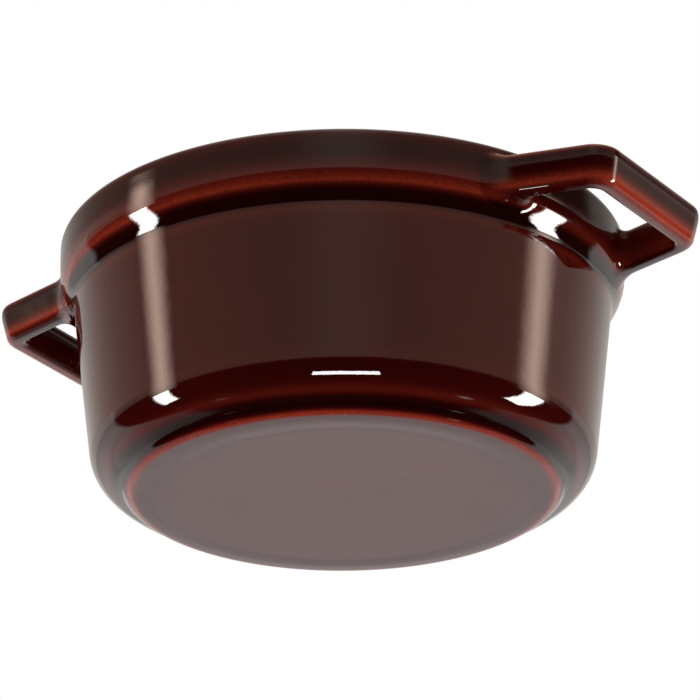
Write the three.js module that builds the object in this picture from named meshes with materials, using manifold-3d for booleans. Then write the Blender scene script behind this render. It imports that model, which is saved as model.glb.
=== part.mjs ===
// Mini cocotte: a small round pot of enamelled cast iron, with two cast loop handles and an inset lid.
// Millimetres, +Z up. The origin is the centre of the foot, on the surface that the pot stands on.
// The handles lie along X. The lid lifts off along +Z.

import * as THREE from 'three';
import { mergeVertices } from 'three/addons/utils/BufferGeometryUtils.js';
import Module from 'manifold-3d';

const wasm = await Module();
wasm.setup();

// Pot: overall sizes and the drafted wall
const potHeight = 50.7;
const rimRadius = 53.7;
const wallDraft = THREE.MathUtils.degToRad(6.6);
const wallThickness = 4.0;
const baseThickness = 5.3;
const innerCorner = 9.0;
const outerCorner = 7.0;

// Pot: the flat foot that stands proud of the base, with a sloping side that is rounded at both ends
const footInset = 6.7;
const footStep = 1.9;
const footSlope = THREE.MathUtils.degToRad(50);
const footEdge = 3.0;
const footFillet = 2.4;
const baseSlope = THREE.MathUtils.degToRad(20);

// Pot: the thick band round the rim, which swells out of the wall, with a rebate inside it for the lid
const bandHeight = 9.43;
const bandOverhang = 2.295;
const bandSlope = THREE.MathUtils.degToRad(58);
const bandFillet = 7.0;
const bandEdge = 7.0;
const rimEdge = 1.8;
const lipThickness = 3.0;
const lipEdge = 0.6;
const rebateDepth = 3.6;
const ledgeEdge = 0.8;

// Handles: a loop of one section, with arms that draw together towards the bar
const handleReach = 15.0;
const handleDrop = 2.35;
const handleRootSpan = 41.2;
const handleBarSpan = 32.6;
const handleWidth = 5.5;
const handleHeight = 7.5;
const handleParting = 2.6;
const handleDraft = THREE.MathUtils.degToRad(13);
const handleEdge = 1.3;
const bellyEdge = 1.8;
const heelEdge = 1.5;
const handleOuterCorner = 5.6;
const handleInnerCorner = 2.4;
const rootSpread = 4.5;
const rootRise = 1.2;
const rootDrop = 2.0;

// Lid: a domed plate with a flat flange, a locating plug and basting spikes under it
const lidClearance = 0.6;
const flangeThickness = 2.7;
const flangeWidth = 5.6;
const flangeEdge = 1.0;
const lidRise = 6.0;
const lidThickness = 3.8;
const plugDepth = 1.5;
const plugWidth = 3.0;
const padRadius = 8.0;
const padHeight = 0.8;
const spikePitch = 10.0;
const spikeRingStep = 8.0;
const spikeRadius = 1.6;
const spikeTip = 0.7;
const spikeHeight = 2.2;

// Knob, and the screw and washer that hold it from under the lid
const knobHeight = 10.6;
const knobFootRadius = 6.4;
const knobWaistRadius = 4.9;
const knobHeadRadius = 10.2;
const knobHeadThickness = 4.6;
const knobEdge = 1.6;
const knobCrown = 0.9;
const screwRadius = 2.3;
const screwReach = 6.4;
const screwHeadRadius = 4.4;
const screwHeadHeight = 2.6;
const slotWidth = 1.2;
const slotDepth = 1.1;
const washerRadius = 5.4;
const washerThickness = 1.0;

// Fits between pieces that touch
const seatGap = 0.3;
const screwClearance = 0.3;

// Facets
const largeSegments = 60;
const smallSegments = 24;
const arcStep = THREE.MathUtils.degToRad(31);
const rootSteps = 4;
const cornerSteps = 5;
const spikeSegments = 6;
const weldDistance = 1e-4;

// Heights and radii that follow from the sizes above
const ledgeHeight = potHeight - rebateDepth;
const bandBottom = potHeight - bandHeight;
const handleMiddle = potHeight - handleDrop - handleHeight / 2;
const rebateRadius = rimRadius - lipThickness;

// Radius of the drafted wall's outer face, or of its extension, at height z
function wallRadius(z) {
  return rimRadius - bandOverhang - (bandBottom - z) * Math.tan(wallDraft);
}

// Radius of the pot's inner face at height z
function innerRadius(z) {
  return wallRadius(z) - wallThickness / Math.cos(wallDraft);
}

// Turns an open outline of corners [radius, height, rounding] into points, with an arc at each rounding.
// Where two arcs would meet on one side, both are made smaller until they fit on it.
function roundedOutline(corners) {
  const at = corners.map(([r, z]) => new THREE.Vector2(r, z));
  const side = (i) => at[i + 1].clone().sub(at[i]);
  const turn = (i) => Math.acos(THREE.MathUtils.clamp(
    side(i - 1).normalize().dot(side(i).normalize()), -1, 1));
  const wanted = corners.map(([, , rounding = 0], i) =>
    (rounding > 0 ? rounding * Math.tan(turn(i) / 2) : 0));
  const tangent = wanted.map((length, i) => {
    if (length === 0) return 0;
    const before = side(i - 1).length() / (length + wanted[i - 1]);
    const after = side(i).length() / (length + wanted[i + 1]);
    return length * Math.min(1, before, after);
  });
  return at.flatMap((corner, i) => {
    if (tangent[i] === 0) return [corner];
    const start = corner.clone().addScaledVector(side(i - 1).normalize(), -tangent[i]);
    const end = corner.clone().addScaledVector(side(i).normalize(), tangent[i]);
    const radius = tangent[i] / Math.tan(turn(i) / 2);
    const toCentre = start.clone().add(end).multiplyScalar(0.5).sub(corner).normalize();
    const centre = corner.clone().addScaledVector(toCentre, Math.hypot(radius, tangent[i]));
    const from = start.clone().sub(centre).angle();
    const sweep = Math.atan2(side(i - 1).cross(side(i)), side(i - 1).dot(side(i)));
    const steps = Math.max(1, Math.ceil(Math.abs(sweep) / arcStep));
    return Array.from({ length: steps + 1 }, (_, k) => new THREE.Vector2(radius, 0)
      .rotateAround(new THREE.Vector2(), from + sweep * k / steps).add(centre));
  });
}

// Turns an outline about the Z axis
function turned(corners, segments) {
  return new THREE.LatheGeometry(roundedOutline(corners), segments).rotateX(Math.PI / 2);
}

// Makes a solid from a closed geometry, with shared vertices merged and flat triangles left out
function toSolid(geometry) {
  const bare = geometry.clone();
  bare.deleteAttribute('normal');
  bare.deleteAttribute('uv');
  const merged = mergeVertices(bare, weldDistance);
  const index = merged.index.array;
  const triangles = [];
  for (let i = 0; i < index.length; i += 3) {
    const [a, b, c] = index.slice(i, i + 3);
    if (a !== b && b !== c && c !== a) triangles.push(a, b, c);
  }
  return new wasm.Manifold(new wasm.Mesh({
    numProp: 3,
    vertProperties: merged.attributes.position.array,
    triVerts: new Uint32Array(triangles),
  }));
}

// Makes a geometry from a solid
function toGeometry(solid) {
  const { vertProperties, triVerts } = solid.getMesh();
  const geometry = new THREE.BufferGeometry();
  geometry.setAttribute('position', new THREE.BufferAttribute(vertProperties, 3));
  geometry.setIndex(new THREE.BufferAttribute(triVerts, 1));
  geometry.computeVertexNormals();
  return geometry;
}

// Pot body: foot, base, drafted wall, rim band and the rebate that the lid sits in
function potOutline() {
  const underside = bandBottom - bandOverhang * Math.tan(bandSlope);
  const footRadius = wallRadius(0) - footInset;
  const stepRadius = footRadius + footStep / Math.tan(footSlope);
  const baseWidth = (wallRadius(footStep) - stepRadius) / (1 - Math.tan(baseSlope) * Math.tan(wallDraft));
  return [
    [0, 0],
    [footRadius, 0, footEdge],
    [stepRadius, footStep, footFillet],
    [stepRadius + baseWidth, footStep + baseWidth * Math.tan(baseSlope), outerCorner],
    [wallRadius(underside), underside, bandFillet],
    [rimRadius, bandBottom, bandEdge],
    [rimRadius, potHeight, rimEdge],
    [rebateRadius, potHeight, lipEdge],
    [rebateRadius, ledgeHeight],
    [innerRadius(ledgeHeight), ledgeHeight, ledgeEdge],
    [innerRadius(baseThickness), baseThickness, innerCorner],
    [0, baseThickness],
  ];
}

// Radius of the pot's outer face at height z, read off its outline, which climbs the outside first
function outerRadius(z) {
  const outline = roundedOutline(potOutline());
  const above = outline.findIndex((point) => point.y > z);
  const [low, high] = [outline[above - 1], outline[above]];
  return THREE.MathUtils.mapLinear(z, low.y, high.y, low.x, high.x);
}

// Section of a handle: across is outwards from the loop, up is +Z. Its sides are upright above the mould's
// parting line and drafted below it. Each point keeps the way that its side or edge faces.
function handleSection() {
  const [half, top] = [handleWidth / 2, handleHeight / 2];
  const parting = top - handleParting;
  const drafted = half - (handleHeight - handleParting) * Math.tan(handleDraft);
  const ring = roundedOutline([
    [0, top],
    [-half, top, handleEdge],
    [-half, parting],
    [-drafted, -top, heelEdge],
    [drafted, -top, bellyEdge],
    [half, parting],
    [half, top, handleEdge],
    [0, top],
  ]).slice(0, -1);
  return ring.map((at, i) => {
    const before = ring.at(i - 1);
    const after = ring[(i + 1) % ring.length];
    const facing = new THREE.Vector2(after.y - before.y, before.x - after.x).normalize();
    return { at, facing };
  });
}

// Centre line of one arm: where it leaves the band, the corner at the bar, and its directions in plan
function armLine() {
  const rootHalf = handleRootSpan / 2;
  const root = new THREE.Vector2(Math.sqrt(rimRadius ** 2 - rootHalf ** 2), rootHalf);
  const corner = new THREE.Vector2(rimRadius + handleReach - handleWidth / 2, handleBarSpan / 2);
  const along = corner.clone().sub(root).normalize();
  const outward = new THREE.Vector2(-along.y, along.x);
  return { root, corner, along, outward };
}

// Rings where an arm runs into the pot. Every line along the arm bends away from it in a quadratic
// curve that leaves the arm smoothly and lands flat on the pot's outer face, which makes the cast fillet.
function rootRings(section, { root, along, outward }) {
  const rise = Math.min(rootRise, handleDrop / 2);
  const lines = section.map(({ at, facing }) => {
    const start = root.clone().addScaledVector(outward, at.x);
    const half = start.dot(along);
    const reach = Math.sqrt(half ** 2 - start.lengthSq() + rimRadius ** 2) - half;
    const foot = start.addScaledVector(along, reach);
    const climb = facing.y * (facing.y > 0 ? rise : rootDrop);
    const arm = foot.clone().addScaledVector(along, Math.hypot(rootSpread * facing.x, climb));
    const height = handleMiddle + at.y;
    const landingHeight = height + climb;
    const landing = foot.clone()
      .rotateAround(new THREE.Vector2(), rootSpread * facing.x / rimRadius)
      .setLength(outerRadius(landingHeight));
    const sunk = landing.clone().setLength(landing.length() - lipThickness / 2);
    return {
      sunk: new THREE.Vector3(sunk.x, sunk.y, landingHeight),
      curve: new THREE.QuadraticBezierCurve3(
        new THREE.Vector3(landing.x, landing.y, landingHeight),
        new THREE.Vector3(foot.x, foot.y, height),
        new THREE.Vector3(arm.x, arm.y, height)),
    };
  });
  const rings = [lines.map((line) => line.sunk)];
  for (let k = 0; k <= rootSteps; k += 1) {
    rings.push(lines.map((line) => line.curve.getPoint(k / rootSteps)));
  }
  return rings;
}

// Rings round the corner from an arm to the bar
// The rounding grows from the inner corner's to the outer corner's across the section.
function cornerRings(section, { corner, along, outward }) {
  const turn = outward.angle();
  const halfWidth = handleWidth / 2;
  return Array.from({ length: cornerSteps + 1 }, (_, k) => {
    const facing = outward.clone().rotateAround(new THREE.Vector2(), -turn * k / cornerSteps);
    return section.map(({ at }) => {
      const rounding = THREE.MathUtils.mapLinear(
        at.x, -halfWidth, halfWidth, handleInnerCorner, handleOuterCorner);
      const sharp = at.x * (1 - outward.x) / along.x;
      const point = corner.clone()
        .addScaledVector(along, sharp - rounding * Math.tan(turn / 2))
        .addScaledVector(outward, at.x - rounding)
        .addScaledVector(facing, rounding);
      return new THREE.Vector3(point.x, point.y, handleMiddle + at.y);
    });
  });
}

// One loop handle, on the +X side: half of its rings are mirrored to make the other half
function handleLoop() {
  const section = handleSection();
  const arm = armLine();
  const half = [...rootRings(section, arm), ...cornerRings(section, arm)];
  const mirrored = half.map((ring) => ring.map((p) => new THREE.Vector3(p.x, -p.y, p.z)));
  const rings = [...half, ...mirrored.reverse()];
  const count = section.length;
  const index = [];
  for (let i = 0; i < rings.length - 1; i += 1) {
    for (let k = 0; k < count; k += 1) {
      const here = i * count + k;
      const next = i * count + (k + 1) % count;
      index.push(here, next, next + count, here, next + count, here + count);
    }
  }
  const last = (rings.length - 1) * count;
  for (let k = 1; k < count - 1; k += 1) {
    index.push(0, k + 1, k);
    index.push(last, last + k, last + k + 1);
  }
  const geometry = new THREE.BufferGeometry().setFromPoints(rings.flat());
  geometry.setIndex(index);
  return geometry;
}

// Pot: one casting, the body with both handles
function potGeometry() {
  const right = toSolid(handleLoop());
  const left = toSolid(handleLoop().rotateZ(Math.PI));
  return toGeometry(toSolid(turned(potOutline(), largeSegments)).add(right).add(left));
}

// Lid sizes in its own frame, where z = 0 is the flat seat under the flange
const lidRadius = rebateRadius - lidClearance;
const domeRadius = lidRadius - flangeWidth;
const domeTop = flangeThickness + lidRise;
const padTop = domeTop + padHeight;
const plugRadius = innerRadius(ledgeHeight - plugDepth) - lidClearance;
const hollowRadius = plugRadius - plugWidth;
const hollowTop = domeTop - lidThickness;
const padBottom = hollowTop - padHeight;
const screwHoleRadius = screwRadius + screwClearance;

// Underside of the lid's dome, from the plug's inner edge to the pad round the screw hole
function lidHollow() {
  return [
    [hollowRadius, -plugDepth, flangeEdge / 2],
    [hollowRadius, flangeThickness - lidThickness + plugDepth, flangeEdge],
    [(hollowRadius + padRadius) / 2, hollowTop, lidRadius],
    [padRadius, hollowTop],
  ];
}

// Height of the lid's hollow at a radius, read off its outline
function hollowHeight(radius) {
  const outline = roundedOutline([[plugRadius, -plugDepth], ...lidHollow(), [0, hollowTop]]);
  const end = outline.findIndex((point) => point.x <= radius);
  const [outer, inner] = [outline[end - 1], outline[end]];
  return THREE.MathUtils.mapLinear(radius, outer.x, inner.x, outer.y, inner.y);
}

// Basting spikes: short blunt cones in rings under the dome, which drip condensed steam back
function spikes() {
  const cones = [];
  const first = padRadius + spikeRingStep / 2;
  for (let ring = first; ring < hollowRadius - spikeRingStep / 2; ring += spikeRingStep) {
    const count = Math.round(2 * Math.PI * ring / spikePitch);
    const root = hollowHeight(ring + spikeRadius);
    const buried = hollowHeight(ring) - root + lidThickness / 4;
    const length = spikeHeight + buried;
    for (let k = 0; k < count; k += 1) {
      const angle = 2 * Math.PI * k / count;
      const cone = new THREE.CylinderGeometry(spikeRadius, spikeTip, length, spikeSegments);
      cone.rotateX(Math.PI / 2);
      cone.translate(ring * Math.cos(angle), ring * Math.sin(angle), root + buried - length / 2);
      cones.push(toSolid(cone));
    }
  }
  return cones;
}

// Lid: dome with a flat pad for the knob, flange, locating plug, hollow, screw hole and spikes
function lidGeometry() {
  const plate = turned([
    [screwHoleRadius, padBottom],
    [padRadius, padBottom],
    ...lidHollow().reverse(),
    [plugRadius, -plugDepth, flangeEdge / 2],
    [plugRadius, 0],
    [lidRadius, 0, flangeEdge / 2],
    [lidRadius, flangeThickness, flangeEdge],
    [domeRadius, flangeThickness, domeRadius / 4],
    [(domeRadius + padRadius) / 2, domeTop, lidRadius],
    [padRadius, domeTop],
    [padRadius, padTop],
    [screwHoleRadius, padTop],
    [screwHoleRadius, padBottom],
  ], largeSegments);
  return toGeometry(spikes().reduce((lid, spike) => lid.add(spike), toSolid(plate)));
}

// Knob: a turned mushroom with a blind hole for the screw, in its own frame with z = 0 at its foot
function knobGeometry() {
  const headBottom = knobHeight - knobCrown - knobHeadThickness;
  const holeDepth = screwReach + seatGap + screwClearance;
  return turned([
    [0, holeDepth],
    [screwHoleRadius, holeDepth],
    [screwHoleRadius, 0],
    [knobFootRadius, 0, knobEdge / 4],
    [knobWaistRadius, headBottom / 2, knobHeadThickness],
    [knobHeadRadius, headBottom, knobEdge],
    [knobHeadRadius, knobHeight - knobCrown, knobEdge],
    [0, knobHeight],
  ], smallSegments);
}

// Screw: shank up through the lid into the knob, slotted head below, with z = 0 under the head's shoulder
function screwGeometry(shankLength) {
  const body = turned([
    [0, -screwHeadHeight],
    [screwHeadRadius, -screwHeadHeight, screwHeadHeight / 2],
    [screwHeadRadius, 0],
    [screwRadius, 0],
    [screwRadius, shankLength, screwRadius / 4],
    [0, shankLength],
  ], smallSegments);
  const slot = new THREE.BoxGeometry(2 * screwHeadRadius + slotWidth, slotWidth, 2 * slotDepth);
  slot.translate(0, 0, -screwHeadHeight);
  return toGeometry(toSolid(body).subtract(toSolid(slot)));
}

// Washer between the screw's head and the lid, with z = 0 at its lower face
function washerGeometry() {
  const bore = screwRadius + screwClearance;
  return turned([
    [bore, 0],
    [washerRadius, 0],
    [washerRadius, washerThickness],
    [bore, washerThickness],
    [bore, 0],
  ], smallSegments);
}

// Finishes
const enamel = { color: 0x3d0f0b, roughness: 0.12, metalness: 0.0 };
const nickel = { color: 0xc9c6bf, roughness: 0.22, metalness: 1.0 };
const steel = { color: 0x9c9c9a, roughness: 0.35, metalness: 1.0 };

function piece(name, geometry, finish) {
  const mesh = new THREE.Mesh(geometry, new THREE.MeshStandardMaterial(finish));
  mesh.name = name;
  return mesh;
}

// Assembly: the lid group carries the knob, washer and screw, and sits on the pot's ledge
const washerBottom = padBottom - seatGap - washerThickness;
const screwSeat = washerBottom - seatGap;
const knobSeat = padTop + seatGap;

const pot = piece('pot', potGeometry(), enamel);
const lid = piece('lid', lidGeometry(), enamel);
const knob = piece('lid_knob', knobGeometry(), nickel);
const washer = piece('knob_washer', washerGeometry(), steel);
const screw = piece('knob_screw', screwGeometry(knobSeat + screwReach - screwSeat), steel);

knob.position.z = knobSeat;
washer.position.z = washerBottom;
screw.position.z = screwSeat;

const lidGroup = new THREE.Group();
lidGroup.add(lid, knob, washer, screw);
lidGroup.position.z = ledgeHeight + seatGap;

const cocotte = new THREE.Group();
cocotte.name = 'mini_cocotte';
cocotte.add(pot, lidGroup);

export default cocotte;
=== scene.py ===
# %% [markdown]
# # A mini cocotte in enamelled cast iron
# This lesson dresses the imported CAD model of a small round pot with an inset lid. The CAD solids say
# where every piece sits and how it moves. Here each one gets a finer surface and the finish that the
# real one has: glossy enamel that is thin and red on every edge, matt black enamel inside, and metal.

# %% The frame
import bmesh
import bpy
import numpy as np
from mathutils import Matrix, Vector


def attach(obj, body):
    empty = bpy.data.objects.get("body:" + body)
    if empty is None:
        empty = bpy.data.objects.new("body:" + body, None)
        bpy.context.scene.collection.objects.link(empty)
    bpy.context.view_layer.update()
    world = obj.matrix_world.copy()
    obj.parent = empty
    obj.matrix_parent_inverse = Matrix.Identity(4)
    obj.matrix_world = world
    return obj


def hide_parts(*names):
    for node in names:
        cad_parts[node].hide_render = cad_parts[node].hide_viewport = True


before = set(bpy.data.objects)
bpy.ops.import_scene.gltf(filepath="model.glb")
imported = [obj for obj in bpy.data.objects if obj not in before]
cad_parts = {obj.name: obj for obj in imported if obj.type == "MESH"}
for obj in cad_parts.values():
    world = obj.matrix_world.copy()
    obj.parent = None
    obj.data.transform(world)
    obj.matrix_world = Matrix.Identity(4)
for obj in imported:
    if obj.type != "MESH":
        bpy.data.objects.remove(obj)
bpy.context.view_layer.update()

# %% [markdown]
# ## Sizes
# The pieces repeat the sizes of the CAD model, so that they land on it with no fitting. They are written
# in millimetres, as a pattern maker would, and `surface_object` turns them into Blender's metres.

# %% Sizes of the pot
MM = 0.001
POT_HEIGHT = 50.7
RIM_RADIUS = 53.7
WALL_DRAFT = np.radians(6.6)
WALL_THICKNESS = 4.0
BASE_THICKNESS = 5.3
INNER_CORNER = 9.0
OUTER_CORNER = 7.0
FOOT_INSET, FOOT_STEP, FOOT_EDGE, FOOT_FILLET = 6.4, 1.9, 2.6, 2.4
FOOT_SLOPE, BASE_SLOPE = np.radians(50), np.radians(20)
DISH_DEPTH, DISH_RADIUS, DISH_EDGE = 0.13, 33.0, 16.0
FOOT_RING_RADIUS, FOOT_RING_EDGE, FOOT_RING_RISE = 36.5, 12.0, 0.14
BAND_HEIGHT, BAND_OVERHANG, BAND_FILLET, BAND_EDGE = 9.3, 2.28, 3.5, 7.0
BAND_SLOPE = np.radians(58)
BAND_LEAN, BAND_LEAN_HEIGHT, BAND_LEAN_EDGE = np.radians(3), 3.8, 25.0
RIM_EDGE, LIP_THICKNESS, LIP_EDGE = 1.8, 3.0, 0.6
REBATE_DEPTH, LEDGE_EDGE = 3.6, 0.8

BAND_BOTTOM = POT_HEIGHT - BAND_HEIGHT
BAND_UNDERSIDE = BAND_BOTTOM - BAND_OVERHANG * np.tan(BAND_SLOPE)
LEDGE_HEIGHT = POT_HEIGHT - REBATE_DEPTH
REBATE_RADIUS = RIM_RADIUS - LIP_THICKNESS


def wall_radius(z):
    """Outer radius of the drafted wall: it grows with height by the tangent of the draft."""
    return RIM_RADIUS - BAND_OVERHANG - (BAND_BOTTOM - z) * np.tan(WALL_DRAFT)


def inner_radius(z):
    """Inner radius of the wall: the outer one less the wall's thickness, measured level."""
    return wall_radius(z) - WALL_THICKNESS / np.cos(WALL_DRAFT)


print("wall radius at the foot and under the band", wall_radius(0), wall_radius(BAND_BOTTOM))

# %% [markdown]
# ## Surfaces from arrays
# Most of this object is turned, so one helper rounds the corners of an outline and another spins it.
# Both give whole numpy arrays. A glossy surface shows every flaw in its normals, so long straight sides
# are cut into short steps: the shading of a fillet then stays in the fillet.


# %% Outlines
def cut_long_steps(line, longest):
    """Points of a line with every step longer than `longest` cut into equal parts."""
    step = np.diff(line, axis=0)
    parts = np.maximum(1, np.ceil(np.hypot(step[:, 0], step[:, 1]) / longest)).astype(int)
    which = np.repeat(np.arange(len(parts)), parts)
    first = np.repeat(np.cumsum(parts) - parts, parts)
    share = (np.arange(parts.sum()) - first) / parts[which]
    return np.vstack([line[which] + share[:, None] * step[which], line[-1:]])


def rounded_outline(corners, longest=0.9, arc_step=np.radians(7)):
    """Outline through corners (radius, height, rounding).

    At a rounded corner a circle of that radius touches both sides. Where two circles would meet on
    one side, both are made smaller until they fit on it.
    """
    at = np.array([corner[:2] for corner in corners], float)
    rounding = np.array([corner[2] if len(corner) > 2 else 0 for corner in corners], float)
    length = np.hypot(*np.diff(at, axis=0).T)
    way = np.diff(at, axis=0) / length[:, None]
    turn = np.zeros(len(at))
    cross = way[:-1, 0] * way[1:, 1] - way[:-1, 1] * way[1:, 0]
    turn[1:-1] = np.arctan2(cross, (way[:-1] * way[1:]).sum(axis=1))
    tangent = rounding * np.tan(np.abs(turn) / 2)
    room = length / np.maximum(tangent[:-1] + tangent[1:], length)
    fit = np.ones(len(at))
    fit[1:-1] = np.minimum(room[:-1], room[1:])
    line = [at[:1]]
    for i in range(1, len(at) - 1):
        start = at[i] - way[i - 1] * tangent[i] * fit[i]
        towards = np.sign(turn[i]) * np.array([-way[i - 1][1], way[i - 1][0]])
        centre = start + towards * rounding[i] * fit[i]
        steps = int(np.ceil(abs(turn[i]) / arc_step)) if rounding[i] else 0
        angle = turn[i] * np.arange(steps + 1) / max(steps, 1)
        arm = start - centre
        line.append(centre + np.stack([
            arm[0] * np.cos(angle) - arm[1] * np.sin(angle),
            arm[0] * np.sin(angle) + arm[1] * np.cos(angle)], axis=1))
    return cut_long_steps(np.vstack(line + [at[-1:]]), longest)


def turned(outline, segments):
    """Grid of an outline (radius r, height z) spun about Z: x = r cos a, y = r sin a, z stays."""
    angle = np.linspace(0, 2 * np.pi, segments, endpoint=False)
    r, z = outline[:, :1], outline[:, 1:]
    return np.stack(np.broadcast_arrays(r * np.cos(angle), r * np.sin(angle), z), axis=-1)


# %% Meshes
WELD = 1e-7
SHARP_ANGLE = np.radians(38)


def wrapped_cells(rows, columns):
    """Corner numbers of the cells of a grid whose last column joins its first."""
    here = np.arange(rows * columns).reshape(rows, columns)
    beside = np.roll(here, -1, axis=1)
    return np.stack([here[:-1], beside[:-1], beside[1:], here[1:]], axis=-1).reshape(-1, 4)


def surface_object(name, grids, values, caps=False):
    """Object from closed grids of points in millimetres.

    Each grid is an array of rows, columns and coordinates, and wraps round along its columns. Rows of
    one point, such as a pole, and rows that meet are welded. `caps` closes the first and last rows.
    `values` maps a name to one array per grid, kept on the mesh as an attribute for the materials.
    """
    faces, start = [], 0
    for grid in grids:
        rows, columns = grid.shape[:2]
        faces += (wrapped_cells(rows, columns) + start).tolist()
        if caps:
            faces.append(list(range(start, start + columns)))
            faces.append(list(range(start + (rows - 1) * columns, start + rows * columns)))
        start += rows * columns
    mesh = bpy.data.meshes.new(name)
    mesh.from_pydata(np.concatenate([g.reshape(-1, 3) for g in grids]) * MM, [], faces)
    for key, arrays in values.items():
        flat = np.concatenate([np.broadcast_to(a, g.shape[:2]).ravel() for a, g in zip(arrays, grids)])
        mesh.attributes.new(key, "FLOAT", "POINT").data.foreach_set("value", flat.astype(np.float32))
    work = bmesh.new()
    work.from_mesh(mesh)
    bmesh.ops.remove_doubles(work, verts=work.verts, dist=WELD)
    bmesh.ops.recalc_face_normals(work, faces=work.faces)
    work.to_mesh(mesh)
    work.free()
    mesh.polygons.foreach_set("use_smooth", np.ones(len(mesh.polygons), bool))
    mesh.set_sharp_from_angle(angle=SHARP_ANGLE)
    piece = bpy.data.objects.new(name, mesh)
    bpy.context.collection.objects.link(piece)
    mesh.calc_loop_triangles()
    print(name, len(mesh.vertices), "vertices", len(mesh.loop_triangles), "triangles")
    return piece


def smooth_step(x, low, high):
    """Soft switch from 0 at low to 1 at high, level at both ends."""
    t = np.clip((x - low) / (high - low), 0, 1)
    return t * t * (3 - 2 * t)


# %% [markdown]
# ## Glaze
# The enamel is a dark red glass over iron. It pools in the hollows, where it looks almost black, and it
# draws back from every outer edge, where the red shows. A mask painted by hand could say where, but the
# place on the outline already does: each surface carries an attribute `thin`, from 0 for a deep pool to 1
# for the barest edge. Between the handle roots, under the arms and on the bar's inner faces it is also
# lowered as painted shade. A red reflectance is easier to think in, so `thin_from_red` turns one into
# the other.

# %% Glaze depth on the pot
BAREST_RED = 0.3


def thin_from_red(red):
    """Value for the attribute `thin`: the square root of a red reflectance over the barest edge's."""
    return np.sqrt(red / BAREST_RED)


CORNER_RED, WALL_RED, BAND_RED = 0.027, 0.045, 0.02
WALL_START, BAND_START = (7.6, 8.4), (43.0, 46.5)
FOOT_EDGE_HEIGHT, FOOT_EDGE_RED, FOOT_EDGE_SPREAD = 0.3, 0.13, 0.3
FOOT_FACE_RADIUS, FOOT_FACE_RED = 30.0, 0.038
# Each edge: its height, the red added there, and how far that spreads
POT_EDGES = [
    (3.1, 0.022, 0.7),
    (8.6, 0.012, 0.9),
    (BAND_UNDERSIDE - 1.65, 0.028, 0.9),
    (BAND_BOTTOM - 0.8, 0.09, 0.5),
    (BAND_BOTTOM, 0.045, 1.6),
    (POT_HEIGHT - 0.2, 0.037, 2.0),
]
# Each hollow: where its pool starts and ends, how softly, and the share of the red that it takes
POT_POOLS = [
    (FOOT_STEP / 2, FOOT_STEP + 0.7, 0.25, 0.75),
    (BAND_UNDERSIDE - 0.85, BAND_BOTTOM - 1.65, 0.25, 0.83),
]


def pot_red(z):
    """Red reflectance of the pot's outside at a height.

    The corner, the wall and the band have a level each. A bell curve adds red about every edge, where the
    glaze is thin, and a soft window takes most of it away in every hollow, where the glaze pools.
    """
    red = CORNER_RED + (WALL_RED - CORNER_RED) * smooth_step(z, *WALL_START)
    red = red + (BAND_RED - WALL_RED) * smooth_step(z, *BAND_START)
    foot_edge = FOOT_EDGE_RED * np.exp(-((z - FOOT_EDGE_HEIGHT) / FOOT_EDGE_SPREAD) ** 2)
    red = red + foot_edge * smooth_step(z, FOOT_RING_RISE / 2, FOOT_RING_RISE)
    for height, strength, spread in POT_EDGES:
        red = red + strength * np.exp(-((z - height) / spread) ** 2)
    for low, high, soft, share in POT_POOLS:
        pool = smooth_step(z, low - soft, low + soft) * smooth_step(z, high + soft, high - soft)
        red = red * (1 - share * pool)
    return red


print("glaze red on the corner, wall and band", CORNER_RED, WALL_RED, BAND_RED)

# %% [markdown]
# ## Pot body
# The pot is one casting: a flat foot, a drafted wall, a thick band round the rim and, inside the band, a
# rebate whose ledge carries the lid. Spinning its outline gives the outside and the inside in one skin.
# Between the roots of each handle the band is sheltered. Its red is lowered there, partly for glaze
# that pools and partly as painted shade from the handle.


# %% Outline of the pot
def pot_outline():
    """Half section of the pot, from the middle of the foot up the outside and down the inside."""
    foot = wall_radius(0) - FOOT_INSET
    step = foot + (FOOT_STEP - FOOT_RING_RISE) / np.tan(FOOT_SLOPE)
    width = (wall_radius(FOOT_STEP) - step) / (1 - np.tan(BASE_SLOPE) * np.tan(WALL_DRAFT))
    return rounded_outline([
        (0, DISH_DEPTH),
        (DISH_RADIUS, DISH_DEPTH, DISH_EDGE),
        (FOOT_RING_RADIUS, 0, FOOT_RING_EDGE),
        (foot, FOOT_RING_RISE, FOOT_EDGE),
        (step, FOOT_STEP, FOOT_FILLET),
        (step + width, FOOT_STEP + width * np.tan(BASE_SLOPE), OUTER_CORNER),
        (wall_radius(BAND_UNDERSIDE), BAND_UNDERSIDE, BAND_FILLET),
        (RIM_RADIUS - BAND_LEAN_HEIGHT * np.tan(BAND_LEAN), BAND_BOTTOM, BAND_EDGE),
        (RIM_RADIUS, BAND_BOTTOM + BAND_LEAN_HEIGHT, BAND_LEAN_EDGE),
        (RIM_RADIUS, POT_HEIGHT, RIM_EDGE),
        (REBATE_RADIUS, POT_HEIGHT, LIP_EDGE),
        (REBATE_RADIUS, LEDGE_HEIGHT),
        (inner_radius(LEDGE_HEIGHT), LEDGE_HEIGHT, LEDGE_EDGE),
        (inner_radius(BASE_THICKNESS), BASE_THICKNESS, INNER_CORNER),
        (0, BASE_THICKNESS),
    ])


outline = pot_outline()
top = int(np.argmax(outline[:, 1]))
outside = outline[:top + 1]
print("pot outline", len(outline), "points, of them outside", len(outside))

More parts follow.
